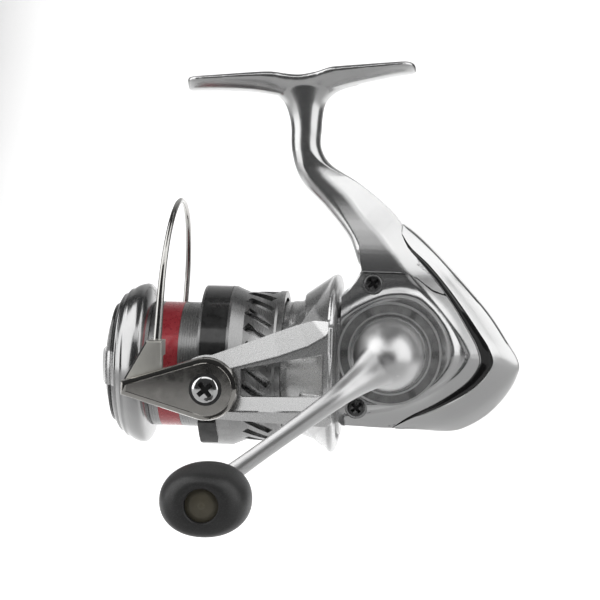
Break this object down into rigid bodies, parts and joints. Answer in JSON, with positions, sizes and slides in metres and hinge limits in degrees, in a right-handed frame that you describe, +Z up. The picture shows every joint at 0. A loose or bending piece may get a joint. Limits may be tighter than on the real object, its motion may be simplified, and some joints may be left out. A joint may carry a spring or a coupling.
{
  "type": "spinning fishing reel",
  "caption": "Open-face spinning reel with rod foot, rotor and folding bail, oscillating drag spool and side crank.",
  "frame": {"origin": "middle of the rod seat, on the plane of the foot's two flat pads", "axes": "+X along the spool shaft from the spool towards the back of the gear case, +Z up from the rotor axis to the rod seat (the seat itself is tilted 5 degrees, its front end lower), +Y away from the crank side"},
  "size_m": [0.1162, 0.1122, 0.1207],
  "materials": {
    "silver_body": "satin silver metallic paint",
    "silver_rear": "light satin silver paint",
    "gloss_black": "gloss black",
    "dial_grain": "fine grained dark grey",
    "bright_trim": "polished",
    "lip_polish": "turned and polished",
    "lever_chrome": "bright plated",
    "black_screw": "blackened steel",
    "steel": "ground steel",
    "inner_black": "matt black",
    "rubber_black": "soft black",
    "gear_alloy": "machined",
    "gear_steel": "hobbed",
    "pinion_brass": "machined",
    "acetal": "natural acetal",
    "crank_satin": "satin plated",
    "knob_rubber": "dark grey soft touch",
    "cap_olive": "matt",
    "roller_tone": "polished",
    "spool_alloy": "satin anodised",
    "band_red": "satin red",
    "clip_black": "satin black",
    "felt": "greased felt",
    "knob_grey": "satin dark grey with a silver bar"
  },
  "bodies": {
    "reel_body": {"body_frame": "silver_body", "side_cover": "silver_body", "cover_screws": "black_screw", "rear_cover": "silver_rear", "accent_strips": "gloss_black", "dial_panel": "dial_grain", "dial_rims": "bright_trim", "drive_bearing_races": "steel", "drive_bearing_balls": "steel", "pinion_bearing_race": "steel", "pinion_bearing_balls": "steel", "clutch_housing": "inner_black", "clutch_rollers": "steel", "clutch_screws": "steel", "brake_ring": "rubber_black", "guide_rod": "steel", "oscillation_axle": "steel"},
    "crank": {"drive_gear": "gear_alloy", "drive_spur": "gear_steel", "handle_shaft": "steel", "crank_boss": "crank_satin", "crank_arm": "crank_satin", "cap_screw": "steel", "drive_bearing_cones": "steel", "knob_pin": "steel"},
    "grip": {"knob": "knob_rubber", "knob_cap": "cap_olive", "knob_bushes": "acetal"},
    "rotor_head": {"rotor": "silver_body", "pinion": "pinion_brass", "pinion_bearing_cone": "steel", "clutch_sleeve": "steel", "rotor_nut": "steel", "nut_retainer": "steel", "arm_covers": "silver_body", "bail_spring": "steel", "pivot_screws": "bright_trim", "pivot_collars": "gloss_black"},
    "bail": {"bail_lever": "lever_chrome", "bail_wire": "bright_trim", "bail_holder": "lever_chrome", "roller_pin": "bright_trim"},
    "roller": {"line_roller": "roller_tone", "roller_bush": "acetal"},
    "cross_gear": {"oscillation_gear": "acetal"},
    "spool_shaft": {"main_shaft": "steel", "slider": "gear_alloy", "slider_screw": "steel", "spool_seat": "steel"},
    "spool_set": {"spool": "spool_alloy", "lip_ring": "lip_polish", "line_label": "band_red", "skirt_panel": "gloss_black", "line_clip": "clip_black", "drag_felts": "felt", "drag_plates": "steel", "drag_retainer": "steel"},
    "drag_dial": {"drag_knob": "knob_grey", "drag_knob_nut": "pinion_brass", "drag_spring": "steel"}
  },
  "joints": [
    {"name": "crank_turn", "type": "hinge", "parent": "reel_body", "child": "crank", "pos_m": [0.027, 0, -0.0775], "axis": [0, 1, 0], "continuous": true},
    {"name": "knob_spin", "type": "hinge", "parent": "crank", "child": "grip", "pos_m": [-0.01593, -0.06, -0.10926], "axis": [0, 1, 0], "continuous": true},
    {"name": "rotor_spin", "type": "hinge", "parent": "reel_body", "child": "rotor_head", "pos_m": [0.027, 0, -0.0835], "axis": [1, 0, 0], "continuous": true},
    {"name": "bail_open", "type": "hinge", "parent": "rotor_head", "child": "bail", "pos_m": [-0.0212, 0, -0.0865], "axis": [0, -1, 0], "range_deg": [0, 115]},
    {"name": "roller_spin", "type": "hinge", "parent": "bail", "child": "roller", "pos_m": [-0.0385, -0.026, -0.0847], "axis": [0, 1, 0], "continuous": true},
    {"name": "cross_gear_spin", "type": "hinge", "parent": "reel_body", "child": "cross_gear", "pos_m": [0.03981, 0, -0.07431], "axis": [0, 1, 0], "continuous": true},
    {"name": "spool_stroke", "type": "slide", "parent": "reel_body", "child": "spool_shaft", "axis": [-1, 0, 0], "range_m": [0, 0.013]},
    {"name": "drag_slip", "type": "hinge", "parent": "spool_shaft", "child": "spool_set", "pos_m": [0.027, 0, -0.0835], "axis": [1, 0, 0], "continuous": true},
    {"name": "drag_turn", "type": "hinge", "parent": "spool_shaft", "child": "drag_dial", "pos_m": [0.027, 0, -0.0835], "axis": [1, 0, 0], "range_deg": [-360, 360]}
  ],
  "couplings": [
    {"joint": "crank_turn", "follows": "rotor_spin", "ratio": 0.18919},
    {"joint": "cross_gear_spin", "follows": "rotor_spin", "ratio": -0.085995}
  ]
}
